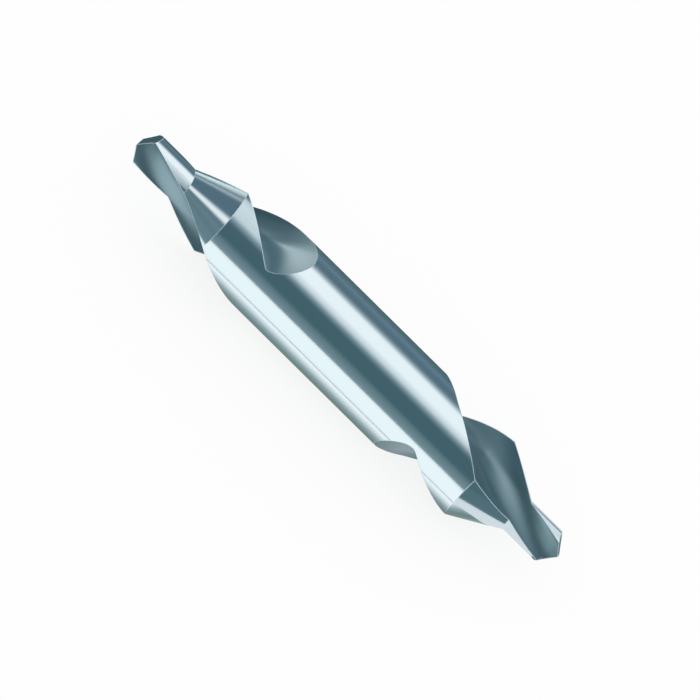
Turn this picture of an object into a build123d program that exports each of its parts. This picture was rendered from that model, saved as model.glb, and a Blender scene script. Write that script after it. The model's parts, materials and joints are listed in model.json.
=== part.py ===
from build123d import *
import math
import os
import numpy as np

# Driving dimensions, in millimetres and degrees.
# X runs along the tool's axis, Z is up, and the origin is on the axis at half length.
body_diameter = 10.0
pilot_diameter = 4.0
overall_length = 58.3
cone_foot = 2.1
countersink_angle = 60.0
point_angle = 113.0
point_clearance = 18.0
web_thickness = 1.3
flute_lead = 43.5

# Where the heel of a land lies, as a turn about the axis in the cutting direction,
# read at the tip: first at the pilot's surface, then at the body's.
heel_edge = (43.5, 61.5)
face_hook = 1.0
heel_bulge = 1.4

# The grinding wheel leaves the body on a ramp at this slope to the axis.
runout_start = 12.35
runout_slope = 30.8
runout_blend = 0.8

# The two ends were ground in separate settings, so these differ a little.
# The face is given as the heel is, and the roll lays the tool as it was photographed.
near_end = {"face": (113.0, 145.0), "relief": 0.70, "runout_facing": 42.0, "roll": 133.0}
far_end = {"face": (116.0, 137.0), "relief": 0.30, "runout_facing": 36.0, "roll": 171.0}

body_radius = body_diameter / 2
pilot_radius = pilot_diameter / 2
half_length = overall_length / 2
turn_rate = 360.0 / flute_lead
cone_slope = math.tan(math.radians(countersink_angle / 2))
ramp_rise = math.tan(math.radians(runout_slope))
wheel_reach = 1.15 * body_radius
wall_height = 1.6 * body_radius
flute_end = runout_start + (body_radius + 0.6) / ramp_rise
stations_along = 20
points_per_side = 5
points_on_floor = 4


def polar(radius, turn):
    """A point of the cross-section as a complex number, its turn counted in the cutting direction."""
    return radius * np.exp(-1j * np.radians(turn))


def circle_centre(a, b, c):
    """Centre of the circle through three points of the cross-section."""
    w = (c - a) / (b - a)
    return a + (b - a) * (w - abs(w) ** 2) / (w - np.conj(w))


def flute_outline(end):
    """The ground flute in one cross-section: cutting face, round floor along the web, bulging heel."""
    radii = np.linspace(wheel_reach, pilot_radius, points_per_side)
    share = (radii - pilot_radius) / (body_radius - pilot_radius)
    face, heel = end["face"], heel_edge
    face_side = polar(radii, face[0] + (face[1] - face[0]) * share**face_hook)
    heel_side = polar(radii, 180 + heel[0] + (heel[1] - heel[0]) * share**heel_bulge)[::-1]
    web_point = polar(web_thickness / 2, (face[0] + heel[0] + 180) / 2)
    centre = circle_centre(face_side[-1], web_point, heel_side[0])
    first, last = np.angle(face_side[-1] - centre), np.angle(heel_side[0] - centre)
    turns = np.linspace(first, last, points_on_floor + 2)[1:-1]
    floor = centre + abs(web_point - centre) * np.exp(1j * turns)
    return np.concatenate([face_side, floor, heel_side])


def flute_section(outline, along, end):
    """The flute's wire at one distance from the tip: turned along the helix, then lifted by the wheel's ramp."""
    turned = outline * np.exp(1j * np.radians(turn_rate * along))
    middle = (end["face"][1] + heel_edge[1] + 180) / 2 - turn_rate * along
    gap = middle - end["runout_facing"]
    facing = polar(1.0, end["runout_facing"] + (gap + math.hypot(gap, 8.0)) / 2)
    height = (turned / facing).real
    ramp = (along - runout_start) * ramp_rise
    softness = runout_blend * np.sin(np.linspace(0, math.pi, len(outline))) ** 4
    height = (height + ramp + np.hypot(height - ramp, softness)) / 2
    lifted = (height + 1j * (turned / facing).imag) * facing
    top = wall_height * facing
    corners = [lifted[-1] + top, lifted[0] + top]
    spots = [(along, p.real, p.imag) for p in [*lifted, *corners, lifted[0]]]
    count = len(outline)
    walls = [Line(a, b) for a, b in zip(spots[count - 1 : -1], spots[count:])]
    spacing = np.concatenate([[0], np.cumsum(abs(np.diff(outline)))])
    curve = Edge.make_spline(spots[:count], parameters=list(spacing / spacing[-1]))
    return Wire([curve] + walls)


def flute_cutter(end):
    """What the wheel takes out for one flute, as a loft from before the tip to past the run-out."""
    outline = flute_outline(end)
    stations = np.linspace(-1.0, flute_end, stations_along)
    return Solid.make_loft([flute_section(outline, s, end) for s in stations])


def relief_cutter(end):
    """What the relief grind takes off behind one cutting edge: all outside an eccentric cone."""
    reach = 2 * body_radius
    tall = reach / cone_slope
    edge_turn = end["face"][1] - turn_rate * (cone_foot + body_radius / cone_slope)
    centre = polar(end["relief"], edge_turn + 110)
    cone = Pos(cone_foot + tall / 2, centre.real, centre.imag) * Rot(0, 90, 0) * Cone(0, reach, tall)
    pilot = Rot(0, 90, 0) * Cylinder(pilot_radius, 6 * reach)
    half = Rot(-10, 0, 0) * Pos(tall / 2, reach / 2, 0) * Box(tall, reach, 2 * reach)
    return half - cone - pilot


def point_cutter(end):
    """One flank plane of the point: it falls away from the lip at the point angle and the clearance."""
    lip_turn = end["face"][0] - turn_rate - math.degrees(math.asin(web_thickness / pilot_diameter))
    rise = 1 / math.tan(math.radians(point_angle / 2))
    back = math.tan(math.radians(point_clearance))
    size = 3 * pilot_diameter
    flank = Plane(origin=(0, 0, 0), x_dir=(0, -back, rise), z_dir=(-1, rise, back))
    slab = flank * Pos(0, 0, size / 2) * Box(size, size, size)
    return Rot(-lip_turn, 0, 0) * slab


def grind_end(blank, end, place):
    """The blank with one end ground: relief, point and flute, each on both sides of the axis."""
    for tool in (relief_cutter(end), point_cutter(end), flute_cutter(end)):
        for turn in (0, 180):
            blank = blank - place * Rot(turn, 0, 0) * tool
    return blank


block_length = overall_length - 2 * (cone_foot + pilot_radius / cone_slope - 0.5)
block = Rot(0, 90, 0) * Cylinder(body_radius, block_length)
pilots = Rot(0, 90, 0) * Cylinder(pilot_radius, overall_length)
centre_drill = block + pilots

near_place = Pos(-half_length, 0, 0) * Rot(near_end["roll"], 0, 0)
far_place = Pos(half_length, 0, 0) * Rot(far_end["roll"], 0, 0) * Rot(0, 180, 0)
centre_drill = grind_end(centre_drill, near_end, near_place)
centre_drill = grind_end(centre_drill, far_end, far_place)

os.makedirs("parts", exist_ok=True)
export_step(centre_drill, "parts/centre_drill.step")
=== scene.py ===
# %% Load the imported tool
import json
import math

import bpy
import numpy as np
from mathutils import Matrix, Vector

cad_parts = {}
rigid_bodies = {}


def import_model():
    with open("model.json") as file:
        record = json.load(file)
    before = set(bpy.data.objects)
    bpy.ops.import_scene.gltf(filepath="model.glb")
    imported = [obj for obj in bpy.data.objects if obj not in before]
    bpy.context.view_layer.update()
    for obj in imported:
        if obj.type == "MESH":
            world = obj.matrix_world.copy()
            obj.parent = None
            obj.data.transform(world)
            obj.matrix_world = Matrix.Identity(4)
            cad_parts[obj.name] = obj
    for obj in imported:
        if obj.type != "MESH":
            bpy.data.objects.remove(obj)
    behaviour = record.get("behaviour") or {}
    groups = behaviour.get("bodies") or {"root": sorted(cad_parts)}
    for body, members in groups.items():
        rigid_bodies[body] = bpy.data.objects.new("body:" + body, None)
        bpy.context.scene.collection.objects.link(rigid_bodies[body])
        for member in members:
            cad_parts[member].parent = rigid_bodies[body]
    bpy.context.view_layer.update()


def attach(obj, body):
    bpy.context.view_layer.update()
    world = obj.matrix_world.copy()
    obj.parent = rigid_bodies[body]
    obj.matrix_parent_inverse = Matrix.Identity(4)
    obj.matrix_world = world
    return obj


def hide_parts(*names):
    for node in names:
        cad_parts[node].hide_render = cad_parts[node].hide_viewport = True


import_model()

# %% [markdown]
# This lesson dresses a double-ended centre drill for a product picture.
# The tool is one piece of bright ground steel, so its look comes from three things:
# the exact run of its flutes, the fine marks that the grinding wheels left,
# and the pale and dark cards that the steel mirrors.
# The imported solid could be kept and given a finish, but its facets and its plain run-out
# would show on steel this bright, so its surface is worked out again, finer.
# The driving sizes are those of the part's source, in millimetres and degrees, but for
# the run-out: here it is blended more softly, steepens on its way and is hollow across.
# The tool's axis is X, and the origin lies on it at half length.

# %% Name the driving sizes
mm = 0.001
body_radius = 5.0
pilot_radius = 2.0
overall_length = 58.3
cone_foot = 2.1
countersink_angle = 60.0
point_angle = 113.0
point_clearance = 18.0
web_thickness = 1.3
flute_lead = 43.5
heel_edge = (43.5, 61.5)
heel_bulge = 1.4
runout_start = 12.35
runout_slope = 30.8
runout_blend = 2.1
ramp_bend = 0.035
ramp_hollow = 0.2
ramp_half_width = 3.5
facing_softness = 8.0
relief_turn = 110.0
relief_split = 10.0
wheel_reach = 1.15 * body_radius

near_end = {"face": (113.0, 145.0), "relief": 0.70, "facing": 42.0, "roll": 133.0, "side": -1}
far_end = {"face": (116.0, 137.0), "relief": 0.30, "facing": 36.0, "roll": 171.0, "side": 1}

half_length = overall_length / 2
turn_rate = 360.0 / flute_lead
cone_slope = math.tan(math.radians(countersink_angle / 2))
point_rise = 1 / math.tan(math.radians(point_angle / 2))
point_back = math.tan(math.radians(point_clearance))
ramp_rise = math.tan(math.radians(runout_slope))
print("flutes turn", round(turn_rate, 2), "degrees in each millimetre")

# %% [markdown]
# Each end is worked out in its own frame: the tip is at the origin and the distance
# from the tip grows into the tool. A cross-section is a complex plane,
# and turns are counted in the cutting direction, which is clockwise in that plane.
# Pairs of coordinates would do as well, but a complex number is turned by one product.

# %% Points of a cross-section
def polar(radius, turn):
    """A point of the section: its radius times e to the power of minus i times its turn."""
    return radius * np.exp(-1j * np.radians(turn))


def turn_of(point):
    """The turn of a point in degrees, unwrapped down the list so that it has no jumps."""
    return -np.degrees(np.unwrap(np.angle(point)))


def circle_centre(a, b, c):
    """
    Centre of the circle through three points. With w as the side to the third point over the
    side to the second, the centre lies off the first by the second's side times w less its
    squared size, over w less its conjugate.
    """
    w = (c - a) / (b - a)
    return a + (b - a) * (w - abs(w) ** 2) / (w - np.conj(w))


print("a quarter turn leads from 1 to", polar(1.0, 90.0).round(3))

# %% [markdown]
# A flute's outline has three stretches: the cutting face, the round floor that
# leaves the web, and the bulging heel. Its share runs from 0 at the face's outer
# edge to 1 at the heel's outer edge, so one number names a line along the flute.
# A cutter's shape could be taken off the blank instead, but such a cut leaves slivers
# along its edges, and bright steel shows them. A formula gives every point exactly.

# %% The flute's outline
outline_count = 240
ramp_fade = 2.0
softened_corner = 111
share_at_floor = 4 / 13
share_at_heel = 9 / 13


def flute_outline(end):
    """
    Shares and points of the outline: face and heel lean with the radius, the floor is an arc.
    A running mean over neighbouring points rounds off the corners between the three.
    """
    radii = np.linspace(wheel_reach, pilot_radius, outline_count)
    share = (radii - pilot_radius) / (body_radius - pilot_radius)
    face = end["face"]
    face_side = polar(radii, face[0] + (face[1] - face[0]) * share)
    lean = (heel_edge[1] - heel_edge[0]) * share**heel_bulge
    heel_side = polar(radii, 180 + heel_edge[0] + lean)[::-1]
    web_point = polar(web_thickness / 2, (face[0] + heel_edge[0] + 180) / 2)
    centre = circle_centre(face_side[-1], web_point, heel_side[0])
    first, last = np.angle(face_side[-1] - centre), np.angle(heel_side[0] - centre)
    floor = centre + abs(web_point - centre) * np.exp(1j * np.linspace(first, last, outline_count))
    points = np.concatenate([face_side, floor[1:-1], heel_side])
    shares = np.concatenate(
        [
            np.linspace(0, share_at_floor, outline_count),
            np.linspace(share_at_floor, share_at_heel, outline_count)[1:-1],
            np.linspace(share_at_heel, 1, outline_count),
        ]
    )
    half = softened_corner // 2
    window = np.hanning(softened_corner + 2)[1:-1]
    padded = np.pad(points, half, mode="reflect", reflect_type="odd")
    return shares, np.convolve(padded, window / window.sum(), mode="valid")


def flute_heights(end, outline, share, along):
    """
    The outline turned by the helix, split into its height along the wheel's facing
    direction and what is left of it sideways, with the height of the wheel's ramp.
    The ramp steepens on its way out, as the rim of a round wheel does, and is hollow across.
    """
    shares, points = outline
    base = np.interp(share, shares, points.real) + 1j * np.interp(share, shares, points.imag)
    turned = base * np.exp(1j * np.radians(turn_rate * along))
    middle = (end["face"][1] + heel_edge[1] + 180) / 2 - turn_rate * along
    gap = middle - end["facing"]
    facing = polar(1.0, end["facing"] + (gap + np.hypot(gap, facing_softness)) / 2)
    out = along - runout_start
    own = turned / facing
    ramp = ramp_rise * out * (1 + ramp_bend * (np.maximum(out, 0) - body_radius / ramp_rise))
    ramp = ramp + ramp_hollow * ((own.imag / ramp_half_width) ** 2 - 0.5)
    return own, ramp, facing


def flute_point(end, outline, share, along):
    """
    A point of the ground flute: the higher of outline and ramp, which is half of their sum and
    their difference. The root of its square and the softness's square rounds the difference
    off where they meet, and the softness fades out as the ramp nears the tool's surface.
    """
    own, ramp, facing = flute_heights(end, outline, share, along)
    spent = np.clip((along - runout_start) * ramp_rise / body_radius, 0, 1)
    softness = runout_blend * (1 - spent) * np.sqrt(np.sin(math.pi * share))
    height = (own.real + ramp + np.hypot(own.real - ramp, softness)) / 2
    return (height + 1j * own.imag) * facing


def helix_share(end, outline, share, along):
    """How far a point belongs to the helix: 1 well below the ramp's line, 0 well above it."""
    own, ramp, _ = flute_heights(end, outline, share, along)
    return np.clip(0.5 + (own.real - ramp) / ramp_fade, 0, 1)


print("outline of a flute:", len(flute_outline(near_end)[1]), "points")

# %% [markdown]
# Between the flutes stand the lands. Going inwards from the tip, a land is a flank
# of the point, then the round pilot, then the countersink, then the body.
# The countersink is relieved: each half of it belongs to a cone set off the axis,
# so it falls away behind its cutting edge. Each surface could be a mesh of its own,
# cut to fit, but as one radius for every direction and distance they meet by themselves.

# %% The lands
nothing = 1e-9


def flank_height(end, point):
    """
    Distance from the tip at which the flank planes pass through a point of the section. It is
    turned until the lip lies level: its level part times the point's rise and its upright part
    times the clearance's are added, and the sign is dropped.
    """
    lip_turn = end["face"][0] - turn_rate - math.degrees(math.asin(web_thickness / 2 / pilot_radius))
    q = point * np.exp(1j * np.radians(lip_turn))
    return abs(point_rise * q.real + point_back * q.imag)


def relief_centre(end, direction):
    """
    Where the countersink's axis passes on the side of the tool that a direction lies on:
    off the tool's axis by the relief, turned on from the cutting edge, or opposite to that.
    """
    edge_turn = end["face"][1] - turn_rate * (cone_foot + body_radius / cone_slope)
    centre = polar(end["relief"], edge_turn + relief_turn)
    split = (direction * np.exp(1j * np.radians(relief_split))).real
    return np.where(split > 0, centre, -centre)


def outer_radius(end, direction, along):
    """
    Radius of pilot, countersink or body. In a direction, the cone reaches as far as its axis's
    part along it, plus the root of its squared radius less that axis's squared part across it.
    This is kept between pilot and body.
    """
    offset = relief_centre(end, direction) / direction
    reach = np.maximum((along - cone_foot) * cone_slope, 0)
    room = np.maximum(reach**2 - offset.imag**2, 0)
    cone = np.where(reach > abs(offset.imag), offset.real + np.sqrt(room), 0)
    return np.clip(cone, pilot_radius, body_radius)


def land_radius(end, direction, along):
    """
    Radius of a land: the outer radius, or less where a flank is lower. A flank's radius is the
    distance from the tip over the flank's height at radius 1.
    """
    flank = along / np.maximum(flank_height(end, direction), nothing)
    return np.minimum(flank, outer_radius(end, direction, along))


def flank_end(end, direction):
    """Distance from the tip at which a flank meets the pilot: its height at radius 1, times the radius."""
    return pilot_radius * flank_height(end, direction)


def cone_reaches(end, direction, radius):
    """
    Distance from the tip at which the countersink has a given radius: the cone's foot, plus
    the way from the countersink's axis to that point over the cone's slope.
    """
    return cone_foot + abs(radius * direction - relief_centre(end, direction)) / cone_slope


countersink_length = (body_radius - pilot_radius) / cone_slope
print("without its relief, a countersink is", round(countersink_length, 2), "mm long")

# %% [markdown]
# A flute and a land meet where the flute's curve leaves the blank. That is found at
# many distances from the tip at once: a table holds, for each distance, the two
# shares at which the curve is neither inside nor outside. Blender could cut one mesh
# with the other, but with this table both grids share the very points of their edge.

# %% Where flutes and lands meet
station_count = 1400
probe_count = 900
close_probe_count = 3600
halvings = 30
first_station, last_station = 0.01, math.pi - 0.005


def crossings(end, outline, along, count):
    """
    Shares where a flute leaves the blank on both sides, and how deep it cuts between them.
    A point is outside by how far the flank lies behind it, or by its reach beyond the land,
    whichever is more. A straight line between neighbours gives the share where that is 0.
    """
    share = np.linspace(0, 1, count)[None, :]
    depth = along[:, None]
    p = flute_point(end, outline, share, depth)
    outside = np.maximum(flank_height(end, p) - depth, abs(p) - outer_radius(end, p / abs(p), depth))
    index = np.arange(count)[None, :]
    rows = np.arange(len(along))
    middle = outside.argmin(axis=1)[:, None]
    before = np.where((outside > 0) & (index < middle), index, 0).max(axis=1)
    after = np.where((outside > 0) & (index > middle), index, count - 1).min(axis=1)
    a, b = outside[rows, before], outside[rows, before + 1]
    c, d = outside[rows, after - 1], outside[rows, after]
    first = (before + a / (a - b)) / (count - 1)
    last = (after - 1 + c / (c - d)) / (count - 1)
    return first, last, outside.min(axis=1)


def closing_distance(end, outline):
    """Distance from the tip at which a flute has run out, found by halving."""
    low, high = runout_start, half_length
    for _ in range(halvings):
        middle = (low + high) / 2
        cuts = crossings(end, outline, np.array([middle]), close_probe_count)[2][0] < 0
        low, high = (middle, high) if cuts else (low, middle)
    return low


def edge_table(end):
    """
    Distances, with the share and the turn of the face's edge and of the heel's edge at each.
    The distances follow half a cosine wave, so they crowd at the tip and where the flute closes.
    """
    outline = flute_outline(end)
    close = closing_distance(end, outline)
    wave = np.cos(np.linspace(first_station, last_station, station_count))
    along = close * (0.5 - 0.5 * wave)
    first, last, _ = crossings(end, outline, along, probe_count)
    along = np.concatenate([[0], along, [close]])
    ends = [(first[0] + last[0]) / 2, (first[-1] + last[-1]) / 2]
    first = np.concatenate([ends[:1], first, ends[1:]])
    last = np.concatenate([ends[:1], last, ends[1:]])
    face_turn = turn_of(flute_point(end, outline, first, along))
    heel_turn = turn_of(flute_point(end, outline, last, along))
    return {"outline": outline, "along": along, "share": (first, last), "turn": (face_turn, heel_turn)}


tables = {"near": edge_table(near_end), "far": edge_table(far_end)}
for name, table in tables.items():
    print(name, "flutes run out", round(table["along"][-1], 2), "mm from the tip")

# %% [markdown]
# A land is a grid. Its columns keep an even share of the turn between two flutes,
# and its rows are spread so that the edges of flank, pilot, countersink and body
# are rows too. Those edges depend on the turn, and the turn on the distance,
# so the distance is found by stepping towards it.

# %% Rows of a land
rows_in_zones = (10, 24, 34, 70)
settle_steps = 60
flank_guess, pilot_guess, body_guess = 1.0, 5.0, 10.0


def land_turn(table, share, along):
    """Turn of a land's column: a mix of this flute's heel edge and the next flute's face edge."""
    heel = np.interp(along, table["along"], table["turn"][1])
    face = np.interp(along, table["along"], table["turn"][0]) + 180
    return heel + share * (face - heel)


def zone_edge(end, table, share, start, edge):
    """Distance at which each column meets an edge, stepped halfway towards it again and again."""
    along = np.full_like(share, start)
    for _ in range(settle_steps):
        along = (along + edge(end, polar(1.0, land_turn(table, share, along)))) / 2
    return along


def row_distances(end, table, share):
    """
    Distances from the tip of every row, for each column of a land: even steps between two
    edges, and squared ones in the first and last zone, which crowd at the tip and the run-out.
    """
    edges = [
        np.zeros_like(share),
        zone_edge(end, table, share, flank_guess, flank_end),
        zone_edge(end, table, share, pilot_guess, lambda e, d: cone_reaches(e, d, pilot_radius)),
        zone_edge(end, table, share, body_guess, lambda e, d: cone_reaches(e, d, body_radius)),
        np.full_like(share, table["along"][-1]),
    ]
    rows = []
    for zone, count in enumerate(rows_in_zones):
        step = np.linspace(0, 1, count + 1)[:-1, None]
        if zone == 0:
            step = step**2
        if zone == 3:
            step = 1 - (1 - step) ** 2
        rows.append(edges[zone] + (edges[zone + 1] - edges[zone]) * step)
    return np.concatenate(rows + [edges[-1][None, :]])


for name, end in (("near", near_end), ("far", far_end)):
    edge_rows = row_distances(end, tables[name], np.array([0.0, 1.0]))
    point_length = edge_rows[rows_in_zones[0]].round(2)
    print(name, "land has", len(edge_rows), "rows, its point is", point_length, "mm long")

# %% Land and flute grids
land_columns = 80
flute_columns = 64
flute_width = 3 * body_radius


def end_grids(end, table):
    """
    Land and flute of one end as grids of section points and distances. The land takes its
    first and last column from the flutes beside it. Each point has three marks: its place
    across the grinding lines and along them, and how coarsely it is ground.
    """
    share = np.linspace(0, 1, land_columns + 1)
    along = row_distances(end, table, share)
    direction = polar(1.0, land_turn(table, share, along))
    land = direction * land_radius(end, direction, along)
    place = np.linspace(0, 1, flute_columns + 1)
    depth = along[:, :1] * place + along[:, -1:] * (1 - place)
    first = np.interp(depth, table["along"], table["share"][0])
    last = np.interp(depth, table["along"], table["share"][1])
    across = first + place * (last - first)
    flute = flute_point(end, table["outline"], across, depth)
    land[:, 0] = flute[:, -1]
    land[:, -1] = -flute[:, 0]
    helix = helix_share(end, table["outline"], across, depth)
    land_marks = np.stack([along, abs(land) * share * math.pi, 0 * along], axis=-1)
    flute_marks = np.stack([across * flute_width, depth, (1 + helix) / 2], axis=-1)
    return (land, along, land_marks), (flute, depth, flute_marks)


grids = {"near": end_grids(near_end, tables["near"]), "far": end_grids(far_end, tables["far"])}
for name, (land, flute) in grids.items():
    print(name, "land grid", land[0].shape, "flute grid", flute[0].shape)

# %% [markdown]
# Every grid is used twice, once as it is and once half a turn on. The far end is
# the near end's kind seen from the other side, so its sections are mirrored by
# the complex conjugate, which is what turning the tool end for end does.
# The plain round middle then joins the last rings of both ends.

# %% Place the grids in the tool's frame
def placed(end, section, along):
    """
    Section points and distances from the tip as points in the tool's frame, in metres.
    The far end's are mirrored, each end's are turned by its roll, and x is what is left
    of half the length, on the end's own side.
    """
    section = section if end["side"] < 0 else np.conj(section)
    section = section * np.exp(1j * np.radians(end["roll"]))
    x = end["side"] * (half_length - along)
    return np.stack([x, section.real, section.imag], axis=-1) * mm


def cell_corners(rows, columns):
    """First corner of each cell of a grid whose points are numbered row by row."""
    return (np.arange(rows - 1)[:, None] * columns + np.arange(columns - 1)).ravel()


def grid_triangles(rows, columns):
    """Two triangles for each cell of a grid, with the cell's first corner in both."""
    corner = cell_corners(rows, columns)
    one = np.stack([corner, corner + 1, corner + columns + 1], axis=-1)
    two = np.stack([corner, corner + columns + 1, corner + columns], axis=-1)
    return np.concatenate([one, two])


def facing_out(points, triangles):
    """The triangles of a grid, all wound so that the largest looks away from the tool's axis."""
    largest = np.linalg.norm(triangle_normals(points, triangles), axis=1).argmax()
    normal = triangle_normals(points, triangles[largest : largest + 1])[0]
    spot = points[triangles[largest]].mean(axis=0)
    return triangles if normal[1:] @ spot[1:] > 0 else triangles[:, ::-1]


def triangle_normals(points, triangles):
    """Cross product of two sides of each triangle."""
    a, b, c = (points[triangles[:, k]] for k in range(3))
    return np.cross(b - a, c - a)


pieces = []
rings = {}
for name, end in (("near", near_end), ("far", far_end)):
    land, flute = grids[name]
    for section, along, marks in (land, flute):
        for half_turn in (1, -1):
            points = placed(end, half_turn * section, along).reshape(-1, 3)
            triangles = facing_out(points, grid_triangles(*section.shape))
            pieces.append((points, triangles, marks.reshape(-1, 3)))
    last_row = land[0][-1][:-1]
    ring = np.concatenate([last_row, -last_row])
    rings[name] = placed(end, ring, np.full(len(ring), land[1][-1, 0]))
    print(name, "last ring at x", round(rings[name][0, 0] / mm, 2), "mm")

# %% The round middle
middle_rows = 9


def ring_angle(ring):
    """Angle of each point of a ring about the tool's axis, from its height and its depth."""
    return np.arctan2(ring[:, 2], ring[:, 1])


near_angle, far_angle = ring_angle(rings["near"]), ring_angle(rings["far"][::-1])
gap = np.angle(np.exp(1j * (far_angle - near_angle[0])))
far_angle = np.roll(far_angle, -abs(gap).argmin())
far_angle = near_angle + np.angle(np.exp(1j * (far_angle - near_angle)))
step = np.linspace(0, 1, middle_rows)[:, None]
turns = near_angle + step * (far_angle - near_angle)
turns = np.concatenate([turns, turns[:, :1] + 2 * math.pi], axis=1)
near_x, far_x = rings["near"][0, 0], rings["far"][0, 0]
tube_x = near_x + step * (far_x - near_x) + 0 * turns
round_y, round_z = body_radius * mm * np.cos(turns), body_radius * mm * np.sin(turns)
tube = np.stack([tube_x, round_y, round_z], axis=-1)
tube_marks = np.stack([tube[..., 0] / mm, 0 * tube[..., 0], 0 * tube[..., 0]], axis=-1)
tube_points = tube.reshape(-1, 3)
tube_triangles = facing_out(tube_points, grid_triangles(*tube.shape[:2]))
pieces.append((tube_points, tube_triangles, tube_marks.reshape(-1, 3)))
print("middle grid", tube.shape[:2], "grids in all", len(pieces))

# %% [markdown]
# The grids become one closed mesh: points that lie on each other are merged,
# and triangles that have shrunk to a line, as at the chisel edge, are dropped.
# Each corner keeps its grinding marks as a UV map: across the lines and along them.
# It also keeps how coarsely it is ground: 0 on lands, a half on ramps, 1 in the helix. The same value
# places the flutes' darker tint, which is partly painted shade.

# %% Merge the grids into one mesh
same_place = 1e-4 * mm
smooth_limit = math.radians(17)


def merged(pieces):
    """
    Points, triangles and corner marks of all the grids as one closed surface. Points that are
    equal once rounded become one, and triangles with two equal corners are left out.
    """
    counts = np.cumsum([0] + [len(p[0]) for p in pieces])
    points = np.concatenate([p[0] for p in pieces])
    triangles = np.concatenate([p[1] + start for p, start in zip(pieces, counts)])
    marks = np.concatenate([p[2] for p in pieces])[triangles]
    keys = np.round(points / same_place).astype(np.int64)
    _, first, index = np.unique(keys, axis=0, return_index=True, return_inverse=True)
    triangles = index.reshape(-1)[triangles]
    a, b, c = triangles.T
    whole = (a != b) & (b != c) & (c != a)
    return points[first], triangles[whole], marks[whole]


points, triangles, marks = merged(pieces)
sides = [triangles[:, [k, (k + 1) % 3]] for k in range(3)]
_, uses = np.unique(np.sort(np.concatenate(sides), axis=1), axis=0, return_counts=True)
print("points", len(points), "triangles", len(triangles), "open or doubled edges", int((uses != 2).sum()))

drill_mesh = bpy.data.meshes.new("centre_drill_ground")
drill_mesh.from_pydata(points, [], triangles)
uv = drill_mesh.uv_layers.new(name="grinding")
uv.data.foreach_set("uv", marks[..., :2].astype(np.float32).ravel())
coarse = drill_mesh.attributes.new("coarseness_and_shade", "FLOAT", "CORNER")
coarse.data.foreach_set("value", marks[..., 2].astype(np.float32).ravel())
drill_mesh.shade_smooth()
drill_mesh.set_sharp_from_angle(angle=smooth_limit)

# %% [markdown]
# The round surfaces were turned and ground true, so their normals are set exactly:
# they point straight away from the axis. Averaged over the triangles around them they
# would waver a little, and a mirror shows that. All the others come from the mesh.

# %% True normals on the round surfaces
reach = np.hypot(points[:, 1], points[:, 2])
straight = points * (0, 1, 1) / np.maximum(reach, mm)[:, None]
normals = np.empty(triangles.size * 3, np.float32)
drill_mesh.corner_normals.foreach_get("vector", normals)
normals = normals.reshape(-1, 3, 3)
for radius in (pilot_radius, body_radius):
    on_round = (abs(reach[triangles] - radius * mm) < same_place).all(axis=1)
    normals[on_round] = straight[triangles[on_round]]
    print("triangles on the round surface of radius", radius, "mm:", int(on_round.sum()))
drill_mesh.normals_split_custom_set(normals.reshape(-1, 3))

# %% The dressed tool
drill = bpy.data.objects.new("centre_drill_ground", drill_mesh)
bpy.context.scene.collection.objects.link(drill)
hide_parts("centre_drill")
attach(drill, "root")
print("dressed tool:", len(drill_mesh.vertices), "points,", len(drill_mesh.polygons), "triangles")

# %% [markdown]
# The steel is a clean metal with a cool tint. Fine grinding lines tilt the surface
# a little: rings around the lands, and lines along the flutes. The flutes were ground
# coarser, so they mirror less sharply; their darker tint is partly that grind and partly
# painted shade in their hollows. A picture of ground steel could be laid over the tool,
# but noise that is stretched along the marks never repeats. The edges are rounded in
# shading alone, because they taper off at the run-outs, where a bevel of the mesh would
# tear. Where that rounded normal leaves the true one, a near-white, matt colour is painted
# on: a painted highlight, which draws the thin light line along every edge.

# %% Tones as they are written in a picture
def linear(red, green, blue):
    """
    Linear light of a colour that is written as 0 to 255, by the usual curve of screens:
    a straight line for the darkest tones and a power of 2.4 for all others.
    """
    value = np.array((red, green, blue)) / 255.0
    return np.where(value < 0.04045, value / 12.92, ((value + 0.055) / 1.055) ** 2.4)


steel_tint = linear(231, 247, 252)
# The flutes' darker tint is partly their coarser grind and partly painted shade in their hollows.
flute_tint_and_shade = linear(150, 178, 186)
# The edge tint is the colour of a painted highlight along the edges.
edge_highlight_tint = linear(226, 246, 254)
print("steel tint in linear light:", steel_tint.round(3))

# %% Start the steel's material
def new_nodes(material):
    """Empties a material and gives it a linked Principled shader."""
    material.use_nodes = True
    nodes = material.node_tree.nodes
    nodes.clear()
    out = nodes.new("ShaderNodeOutputMaterial")
    shader = nodes.new("ShaderNodeBsdfPrincipled")
    material.node_tree.links.new(shader.outputs["BSDF"], out.inputs["Surface"])
    return nodes, material.node_tree.links, shader


def ranged(nodes, links, value, start, end, low, high):
    """A number that runs from low to high while a value runs from start to end."""
    node = nodes.new("ShaderNodeMapRange")
    for name, number in zip(("From Min", "From Max", "To Min", "To Max"), (start, end, low, high)):
        node.inputs[name].default_value = number
    links.new(value, node.inputs["Value"])
    return node.outputs["Result"]


steel = bpy.data.materials["ground_steel"]
nodes, links, shader = new_nodes(steel)
print(steel.name, "starts with", len(nodes), "nodes")

# %% The steel's tint and finish
land_roughness = 0.13
flute_roughness = 0.42

# The sockets of a Mix node share their names with one another, so they go by number.
first_number, second_number = 2, 3
first_colour, second_colour, mixed_colour = 6, 7, 2

coarseness_and_shade = nodes.new("ShaderNodeAttribute")
coarseness_and_shade.attribute_name = "coarseness_and_shade"
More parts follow.
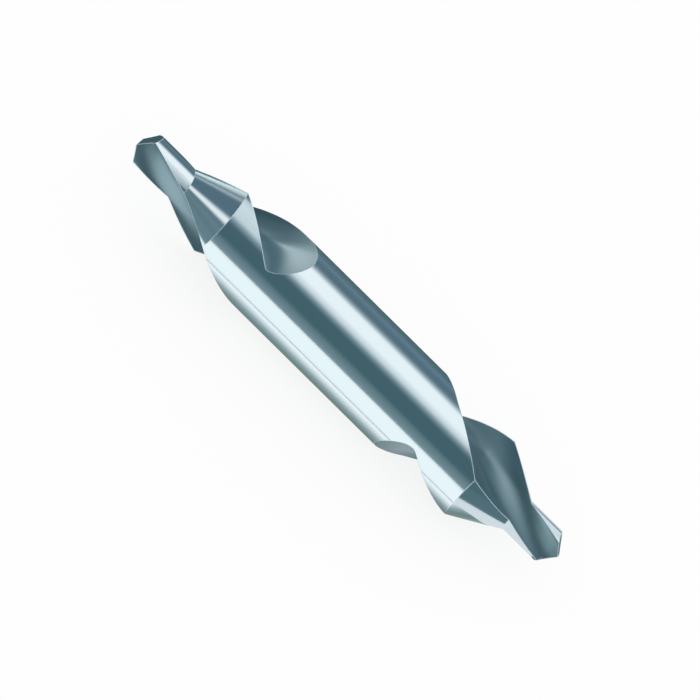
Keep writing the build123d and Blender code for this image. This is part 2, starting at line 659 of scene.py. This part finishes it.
# The darker flute tint, partly grind and partly painted shade, is mixed in where the helix is.
tint = nodes.new("ShaderNodeMix")
tint.data_type = "RGBA"
tint.inputs[first_colour].default_value = (*steel_tint, 1.0)
tint.inputs[second_colour].default_value = (*flute_tint_and_shade, 1.0)
links.new(ranged(nodes, links, coarseness_and_shade.outputs["Fac"], 0.5, 1.0, 0.0, 1.0), tint.inputs["Factor"])
finish = (0.0, 1.0, land_roughness, flute_roughness)
links.new(ranged(nodes, links, coarseness_and_shade.outputs["Fac"], *finish), shader.inputs["Roughness"])
print("roughness from", land_roughness, "on the lands to", flute_roughness, "in the flutes")

# %% Fine grinding lines
line_fineness = 26.0
line_stretch = 0.35
line_detail = 3.0
line_depth = 0.001 * mm

marks_map = nodes.new("ShaderNodeUVMap")
marks_map.uv_map = "grinding"
stretch = nodes.new("ShaderNodeMapping")
stretch.inputs["Scale"].default_value = (1.0, line_stretch, 1.0)
links.new(marks_map.outputs["UV"], stretch.inputs["Vector"])
lines = nodes.new("ShaderNodeTexNoise")
lines.noise_dimensions = "2D"
lines.inputs["Scale"].default_value = line_fineness
lines.inputs["Detail"].default_value = line_detail
links.new(stretch.outputs["Vector"], lines.inputs["Vector"])
relief = nodes.new("ShaderNodeBump")
relief.inputs["Strength"].default_value = 1.0
relief.inputs["Distance"].default_value = line_depth
links.new(lines.outputs["Fac"], relief.inputs["Height"])
links.new(relief.outputs["Normal"], shader.inputs["Normal"])
print("lines", round(1 / line_fineness, 3), "mm apart and up to", line_depth / mm, "mm deep")

# %% Rounded edges and their painted highlight
edge_rounding = 0.105 * mm
edge_samples = 6
# The painted edge highlight is near white and almost no metal.
highlight_metallic = 0.1
highlight_start, highlight_full = 0.993, 0.97

rounding = nodes.new("ShaderNodeBevel")
rounding.samples = edge_samples
rounding.inputs["Radius"].default_value = edge_rounding
links.new(rounding.outputs["Normal"], relief.inputs["Normal"])
true_normal = nodes.new("ShaderNodeNewGeometry")
agree = nodes.new("ShaderNodeVectorMath")
agree.operation = "DOT_PRODUCT"
links.new(true_normal.outputs["Normal"], agree.inputs[0])
links.new(rounding.outputs["Normal"], agree.inputs[1])
painted_edge_highlight = ranged(nodes, links, agree.outputs["Value"], highlight_start, highlight_full, 0.0, 1.0)
# Painted highlight: where the rounded normal leaves the true one, the colour turns near white and the
# metal matt.
edge_highlight_mix = nodes.new("ShaderNodeMix")
edge_highlight_mix.data_type = "RGBA"
edge_highlight_mix.inputs[second_colour].default_value = (*edge_highlight_tint, 1.0)
links.new(painted_edge_highlight, edge_highlight_mix.inputs["Factor"])
links.new(tint.outputs[mixed_colour], edge_highlight_mix.inputs[first_colour])
links.new(edge_highlight_mix.outputs[mixed_colour], shader.inputs["Base Color"])
links.new(ranged(nodes, links, painted_edge_highlight, 0.0, 1.0, 1.0, highlight_metallic), shader.inputs["Metallic"])
drill_mesh.materials.append(steel)
print("ground steel has", len(nodes), "nodes")

# %% [markdown]
# The photograph looks down on the tool at 47 degrees, from far away and with the
# tool lying slantwise in the picture. The camera could be turned by hand until the
# picture fits, but three directions worked out from those two angles are exact.

# %% Camera at the photograph's angle
elevation = math.radians(47.0)
slant = math.radians(44.67)
frame_width = 69.3 * mm
lens = 300.0
sensor = 36.0
centre_right = -0.09 * mm
centre_up = 0.13 * mm

tool_axis = Vector((1, 0, 0))
away = Vector((0, math.sin(elevation), math.cos(elevation)))
towards = Vector((0, -math.cos(elevation), math.sin(elevation)))
picture_right = math.cos(slant) * tool_axis + math.sin(slant) * away
picture_up = math.cos(slant) * away - math.sin(slant) * tool_axis
aim = -centre_right * picture_right - centre_up * picture_up
distance = frame_width * lens / sensor

camera_data = bpy.data.cameras.new("photo_camera")
camera_data.lens = lens
camera_data.sensor_width = sensor
camera_data.clip_start = 0.01
camera_data.clip_end = 20.0
camera = bpy.data.objects.new("photo_camera", camera_data)
turned = Matrix((picture_right, picture_up, towards)).transposed()
camera.matrix_world = Matrix.Translation(aim + distance * towards) @ turned.to_4x4()
bpy.context.scene.collection.objects.link(camera)
bpy.context.scene.camera = camera
bpy.context.scene.view_settings.view_transform = "Standard"
print("camera stands", round(distance, 3), "m from the tool")

# %% [markdown]
# The tool lies on a white floor under an even white sky. A share of the floor's white
# is its own glow, for the camera and for mirrored rays, and the rest still takes the
# tool's shadow. More light would whiten the floor too, but it would bleach the steel.

# %% The floor and the sky
floor_reach = 3.0
floor_white = 0.95
floor_lift = 0.85
floor_height = -body_radius * mm

world = bpy.data.worlds.new("white_sky")
world.use_nodes = True
world.node_tree.nodes["Background"].inputs["Color"].default_value = (1, 1, 1, 1)
world.node_tree.nodes["Background"].inputs["Strength"].default_value = 1.0
bpy.context.scene.world = world


def mesh_object(name, points, faces):
    """A mesh object at the origin from points and faces."""
    mesh = bpy.data.meshes.new(name)
    mesh.from_pydata(points, [], faces)
    obj = bpy.data.objects.new(name, mesh)
    bpy.context.scene.collection.objects.link(obj)
    return obj


def flat_sheet(x, y, z):
    """Corners of a level sheet from its spans along and across the tool and its height."""
    return [(x[0], y[0], z), (x[1], y[0], z), (x[1], y[1], z), (x[0], y[1], z)]


span = (-floor_reach, floor_reach)
floor = mesh_object("floor", flat_sheet(span, span, floor_height), [(0, 1, 2, 3)])
paper = bpy.data.materials.new("white_floor")
nodes, links, shader = new_nodes(paper)
shader.inputs["Base Color"].default_value = (floor_white, floor_white, floor_white, 1.0)
shader.inputs["Roughness"].default_value = 1.0
shader.inputs["Specular IOR Level"].default_value = 0.0
glow = nodes.new("ShaderNodeEmission")
ray = nodes.new("ShaderNodeLightPath")
lift = nodes.new("ShaderNodeMix")
lift.inputs[first_number].default_value = 0.0
lift.inputs[second_number].default_value = floor_lift
blend = nodes.new("ShaderNodeMixShader")
seen = nodes.new("ShaderNodeMath")
seen.operation = "MAXIMUM"
links.new(ray.outputs["Is Camera Ray"], seen.inputs[0])
links.new(ray.outputs["Is Glossy Ray"], seen.inputs[1])
links.new(seen.outputs[0], lift.inputs[0])
links.new(lift.outputs[0], blend.inputs["Fac"])
links.new(shader.outputs["BSDF"], blend.inputs[1])
links.new(glow.outputs[0], blend.inputs[2])
links.new(blend.outputs[0], nodes["Material Output"].inputs["Surface"])
floor.data.materials.append(paper)
print("floor", 2 * floor_reach, "m wide,", round(floor_height / mm, 1), "mm below the tool's axis")

# %% [markdown]
# Polished steel has hardly a colour of its own and shows what stands around it, so the
# picture's bands are made as a studio makes them: with dark and pale cards around the
# tool. Lamps could stand there instead, but each would leave only a bright spot.
# The cards are seen by mirrored rays alone, so they light nothing and cast no shadow.
# A card's tone is the tone wanted on the steel, divided by the steel's own tint.

# %% Cards with soft tones
def toned_card(name, grid, tones):
    """A sheet from a grid of points; each of its rows glows in its own tone."""
    rows, columns = grid.shape[:2]
    corner = cell_corners(rows, columns)
    faces = np.stack([corner, corner + 1, corner + columns + 1, corner + columns], axis=-1)
    obj = mesh_object(name, grid.reshape(-1, 3), faces.tolist())
    light = obj.data.attributes.new("light", "FLOAT_COLOR", "POINT")
    colours = np.repeat(np.c_[tones / steel_tint, np.ones(rows)], columns, axis=0)
    light.data.foreach_set("color", colours.astype(np.float32).ravel())
    material = bpy.data.materials.new(name)
    material.use_nodes = True
    nodes, links = material.node_tree.nodes, material.node_tree.links
    nodes.clear()
    tone = nodes.new("ShaderNodeAttribute")
    tone.attribute_name = "light"
    glow = nodes.new("ShaderNodeEmission")
    out = nodes.new("ShaderNodeOutputMaterial")
    links.new(tone.outputs["Color"], glow.inputs["Color"])
    links.new(glow.outputs[0], out.inputs["Surface"])
    obj.data.materials.append(material)
    obj.visible_camera = False
    obj.visible_diffuse = False
    obj.visible_shadow = False
    obj.visible_transmission = False
    return obj


print("white on the steel takes a card of light", (1 / steel_tint).round(2))

# %% Where a card stands
card_step = 1.5
floor_card_rows = 40
card_lift = 0.1 * mm
tent_radius = 260 * mm
tent_end = 200
near_radius = 30 * mm


def blended(places, knots):
    """Tones at many places, blended in a straight line between the few that are named."""
    at = [place for place, tone in knots]
    tones = np.array([linear(*tone) for place, tone in knots])
    return np.stack([np.interp(places, at, tones[:, k]) for k in range(3)], axis=-1)


def around(angles, radius, x):
    """
    Points on a circle about the tool's axis: x, minus the radius times the angle's cosine, and
    the radius times its sine, so that angles count from level in front over the top.
    """
    turns = np.radians(angles)
    return np.stack([np.full_like(turns, x), -radius * np.cos(turns), radius * np.sin(turns)], axis=-1)


def tent(name, radius, x, knots):
    """A card bent around the tool's axis over a span of its length."""
    angles = np.arange(knots[0][0], knots[-1][0] + card_step, card_step)
    grid = np.stack([around(angles, radius, end * mm) for end in x], axis=1)
    return toned_card(name, grid, blended(angles, knots))


def end_wall(name, side, radii, knots):
    """A ring across one end of the tent, toned by the angle about the tool's axis."""
    angles = np.arange(knots[0][0], knots[-1][0] + card_step, card_step)
    x = side * tent_end * mm
    grid = np.stack([around(angles, radius, x) for radius in radii], axis=1)
    return toned_card(name, grid, blended(angles, knots))


def floor_card(name, x, knots):
    """A card just above the floor, toned by the distance across the tool."""
    places = np.linspace(knots[0][0], knots[-1][0], floor_card_rows)
    level = np.full_like(places, floor_height + card_lift)
    lines = [np.stack([np.full_like(places, end * mm), places * mm, level], axis=-1) for end in x]
    return toned_card(name, np.stack(lines, axis=1), blended(places, knots))


print("tent", round(tent_radius / mm), "mm from the axis and", 2 * tent_end, "mm long")

# %% [markdown]
# Most of what the round lands show is a tent around the tool. Its tones are knots:
# an angle about the tool's axis, counted from the front over the top, and a tone.
# The tent's outer spans differ, because the flutes mirror those and the lands don't.

# %% The tent around the tool
dark, slate, deep, shade = (65, 95, 105), (80, 107, 122), (72, 101, 111), (66, 98, 108)
foot, rise, faded = (70, 95, 105), (117, 141, 151), (160, 182, 190)
left_end, right_end = -90, 50
front_tones = [
    (0, (116, 141, 149)),
    (20, (92, 121, 131)),
    (29, dark),
    (60, dark),
    (69, rise),
]
back_tones = [
    (130, (135, 157, 168)),
    (138, (86, 112, 125)),
    (150, slate),
    (167, (96, 123, 138)),
    (184, deep),
]
over_left = [(78, faded), (112, faded), (124, shade), (184, shade)]
over_body = [(78, (192, 211, 219)), (92, (229, 243, 248)), (119, (229, 243, 249))]
right_tones = [(0, foot), (35, foot), (60, dark), (69, rise), (78, faded), (119, faded)]
tent("tent_left", tent_radius, (-tent_end, left_end), front_tones + over_left)
tent("tent_body", tent_radius, (left_end, right_end), front_tones + over_body + back_tones)
tent("tent_right", tent_radius, (right_end, tent_end), right_tones + back_tones)
print("the tent has 3 spans, parted at x", left_end, "and", right_end, "mm")

# %% [markdown]
# The countersinks and the run-outs look along the tool, towards the tent's ends.
# The left end is closed by three rings. The left countersink mirrors mostly the inner
# two, and the lit part of the middle ring brightens the upper side of the left run-out.

# %% The walls across the tent's ends
glare, lit, dimmed, low_glow = (226, 240, 246), (228, 248, 254), (176, 197, 204), (80, 108, 118)
right_glow = (136, 160, 168)
ring_start, ring_end = 178 * mm, 224 * mm
wall_foot = [
    (-3, (88, 117, 127)),
    (22, (98, 126, 136)),
    (42, low_glow),
    (50, glare),
    (62, glare),
]
middle_tones = [(72, slate), (122, slate), (130, (168, 188, 197)), (140, low_glow), (184, deep)]
rim_tones = [(72, shade), (184, shade)]
ring_tones = [
    (-3, shade),
    (136, shade),
    (141, dimmed),
    (147, dimmed),
    (152, lit),
    (165, lit),
    (172, shade),
    (184, shade),
]
right_wall_tones = [
    (-3, deep),
    (24, deep),
    (36, right_glow),
    (56, right_glow),
    (68, deep),
    (90, (84, 112, 123)),
    (184, deep),
]
end_wall("left_wall_middle", -1, (0, ring_start), wall_foot + middle_tones)
end_wall("left_wall_ring", -1, (ring_start, ring_end), ring_tones)
end_wall("left_wall_rim", -1, (ring_end, tent_radius), wall_foot + rim_tones)
end_wall("right_wall_tones", 1, (0, tent_radius), right_wall_tones)
print("the left wall's ring runs from", round(ring_start / mm), "to", round(ring_end / mm), "mm")

# %% [markdown]
# Small cards close to the axis set the tone of one place alone: each pilot,
# the land beside the left countersink, and the flute at the right tip.

# %% Small cards close to the tool
pilot_pale, soft_grey, soft_blue = (205, 220, 226), (150, 170, 178), (150, 172, 180)
left_pilot_tones = [(35, soft_grey), (78, pilot_pale)]
left_land_tones = [
    (68, (116, 141, 150)),
    (78, (188, 208, 215)),
    (108, (200, 218, 225)),
    (124, (180, 201, 209)),
]
right_pilot_tones = [(122, pilot_pale), (168, pilot_pale)]
right_flute_tones = [(-2, lit), (20, lit), (32, soft_blue), (46, dark)]
tent("left_pilot_card", near_radius, (-31, -23), left_pilot_tones)
tent("left_land_card", near_radius, (-19.5, -12.5), left_land_tones)
tent("right_pilot_card", near_radius, (23, 31), right_pilot_tones)
tent("right_flute_card", near_radius, (23, 32), right_flute_tones)
print("4 small cards", round(near_radius / mm), "mm from the axis")

# %% [markdown]
# The lower half of the tool mirrors the floor. Cards just above it give those bands,
# and one narrow card draws the fine dark line along the bright lower band.
# Their knots are a distance across the tool, in millimetres, and a tone.
# The card under the tool grows darker towards it: a painted shadow of the tool on the
# floor, which the steel mirrors.

# %% Cards on the floor
low_left, low_right, seam_grey = (98, 126, 136), (80, 110, 120), (130, 150, 158)
pale, middling, shadow_band = (190, 205, 210), (140, 158, 166), (108, 133, 134)
front_edge, back_edge, far_back = -200, 8, 250
body_start, cone_end, gap_end = -18, 22.6, 27.5
pilot_start, pilot_end = 22, 31
# Tones of the card under the tool: its darkening towards the tool is a painted shadow, seen in the steel's
# mirror.
painted_shadow_tones = [
    (-8.8, (238, 250, 253)),
    (-6.7, (186, 205, 212)),
    (-5.6, (142, 163, 169)),
    (-4.1, shadow_band),
    (-3, shadow_band),
    (-1.5, middling),
    (back_edge, middling),
]
behind = [(back_edge, (60, 86, 93)), (40, (78, 107, 118)), (far_back, deep)]
behind_pilot = [(back_edge, pale), (60, pale), (far_back, deep)]


def even(tone):
    """One tone from the front edge to the tool's far side."""
    return [(front_edge, tone), (back_edge, tone)]


floor_card("floor_shadow_card", (body_start, cone_end), painted_shadow_tones)
floor_card("left_low", (-tent_end, -30), even(low_left))
floor_card("right_low", (gap_end, tent_end), even(low_right))
floor_card("right_gap", (cone_end, gap_end), even(pilot_pale))
floor_card("behind_left", (-tent_end, pilot_start), behind)
floor_card("behind_pilot", (pilot_start, pilot_end), behind_pilot)
floor_card("behind_right", (pilot_end, tent_end), behind)
floor_card("seam", (-20, 20), [(-10.3, seam_grey), (-9.8, seam_grey)])
stage_names = [obj.name for obj in bpy.context.scene.objects if obj is not drill]
print("stage:", stage_names)
